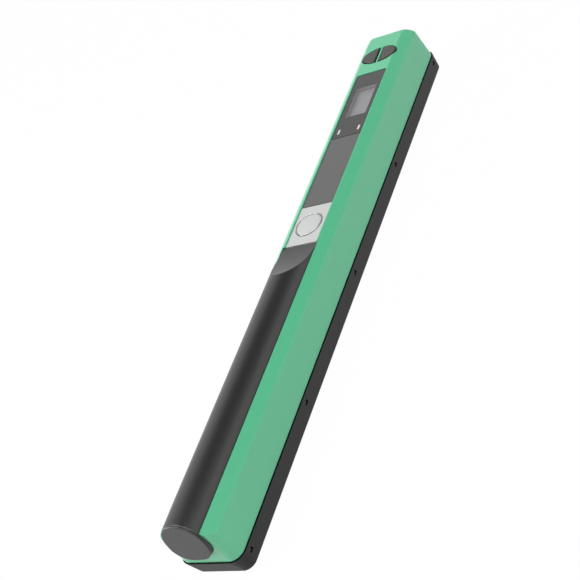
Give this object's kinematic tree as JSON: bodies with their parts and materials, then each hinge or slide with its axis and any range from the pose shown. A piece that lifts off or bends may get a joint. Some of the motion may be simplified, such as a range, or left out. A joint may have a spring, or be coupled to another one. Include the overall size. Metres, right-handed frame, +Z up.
{
  "type": "handheld document scanner",
  "caption": "Slim battery-powered wand that is drawn across a page to scan it, with a round grip, a thumb ramp, a small display and push keys on a green case.",
  "frame": {"origin": "middle of the whole wand on the paper that its wheels stand on", "axes": "+X along the wand from the grip's end to the display's end, +Y to the side with the sockets, +Z up"},
  "size_m": [0.2576, 0.0276, 0.0304],
  "materials": {
    "green_case": "satin green moulded plastic",
    "black_base": "fine-grained black moulded plastic",
    "grip_black": "satin black moulded plastic",
    "cell_jacket": "printed steel jacket",
    "steel": "plain steel",
    "silver_plate": "silver lacquered plastic",
    "panel_grey": "smooth grey",
    "dark_window": "smoked glossy window",
    "white_diffuser": "milky white",
    "chrome_trim": "polished",
    "key_dark": "satin dark grey",
    "board_green": "lacquered circuit board",
    "lcd_glass": "grey liquid crystal glass",
    "sensor_glass": "clear",
    "ribbon_film": "flexible film",
    "white_plastic": "natural acetal",
    "wheel_rubber": "dull black rubber"
  },
  "bodies": {
    "case": {"top_shell": "green_case", "base_shell": "black_base", "battery_tray": "black_base", "near_cell": "cell_jacket", "far_cell": "cell_jacket", "negative_contact": "steel", "positive_contact": "steel", "contact_spring": "steel", "scan_plate": "silver_plate", "panel_strip": "panel_grey", "display_lens": "dark_window", "left_indicator": "white_diffuser", "right_indicator": "white_diffuser", "button_ring": "chrome_trim", "main_board": "board_green", "board_screw_1": "steel", "board_screw_2": "steel", "board_screw_3": "steel", "board_screw_4": "steel", "scan_switch": "steel", "left_key_switch": "steel", "right_key_switch": "steel", "lcd_module": "lcd_glass", "usb_port": "steel", "card_slot": "steel", "format_switch": "steel", "clock_switch": "steel", "sensor_housing": "black_base", "sensor_glass": "sensor_glass", "rod_lens": "sensor_glass", "light_guide": "white_diffuser", "sensor_board": "board_green", "sensor_ribbon": "ribbon_film", "near_carrier": "white_plastic", "far_carrier": "white_plastic", "near_axle": "steel", "far_axle": "steel", "encoder_gate": "black_base"},
    "grip_cover": {"battery_cover": "grip_black"},
    "scan_button": {"scan_button": "silver_plate"},
    "left_key": {"left_key": "key_dark"},
    "right_key": {"right_key": "key_dark"},
    "format_pin": {"format_pin": "key_dark"},
    "clock_pin": {"clock_pin": "key_dark"},
    "drive": {"roller_shaft": "steel", "near_roller": "wheel_rubber", "far_roller": "wheel_rubber", "drive_gear": "white_plastic"},
    "encoder": {"encoder_gear": "white_plastic", "encoder_disc": "dark_window", "encoder_pin": "steel"},
    "near_wheel": {"near_wheel": "wheel_rubber"},
    "far_wheel": {"far_wheel": "wheel_rubber"}
  },
  "joints": [
    {"name": "cover_slide", "type": "slide", "parent": "case", "child": "grip_cover", "axis": [-1, 0, 0], "range_m": [0, 0.003]},
    {"name": "scan_press", "type": "slide", "parent": "case", "child": "scan_button", "axis": [0, 0, -1], "range_m": [0, 0.0005], "stiffness_N_per_m": 2000},
    {"name": "left_key_press", "type": "slide", "parent": "case", "child": "left_key", "axis": [0, 0, -1], "range_m": [0, 0.0004], "stiffness_N_per_m": 2000},
    {"name": "right_key_press", "type": "slide", "parent": "case", "child": "right_key", "axis": [0, 0, -1], "range_m": [0, 0.0004], "stiffness_N_per_m": 2000},
    {"name": "format_pin_press", "type": "slide", "parent": "case", "child": "format_pin", "axis": [0, -1, 0], "range_m": [0, 0.00025], "stiffness_N_per_m": 2000},
    {"name": "clock_pin_press", "type": "slide", "parent": "case", "child": "clock_pin", "axis": [0, -1, 0], "range_m": [0, 0.00025], "stiffness_N_per_m": 2000},
    {"name": "drive_spin", "type": "hinge", "parent": "case", "child": "drive", "pos_m": [0.0013, -0.0082, 0.0034], "axis": [1, 0, 0], "continuous": true},
    {"name": "encoder_spin", "type": "hinge", "parent": "case", "child": "encoder", "pos_m": [0.1092, -0.00444, 0.00877], "axis": [1, 0, 0], "continuous": true},
    {"name": "near_wheel_spin", "type": "hinge", "parent": "case", "child": "near_wheel", "pos_m": [-0.1153, 0.0082, 0.0034], "axis": [1, 0, 0], "continuous": true},
    {"name": "far_wheel_spin", "type": "hinge", "parent": "case", "child": "far_wheel", "pos_m": [0.1179, 0.0082, 0.0034], "axis": [1, 0, 0], "continuous": true}
  ],
  "couplings": [
    {"joint": "encoder_spin", "follows": "drive_spin", "ratio": -0.42308}
  ]
}
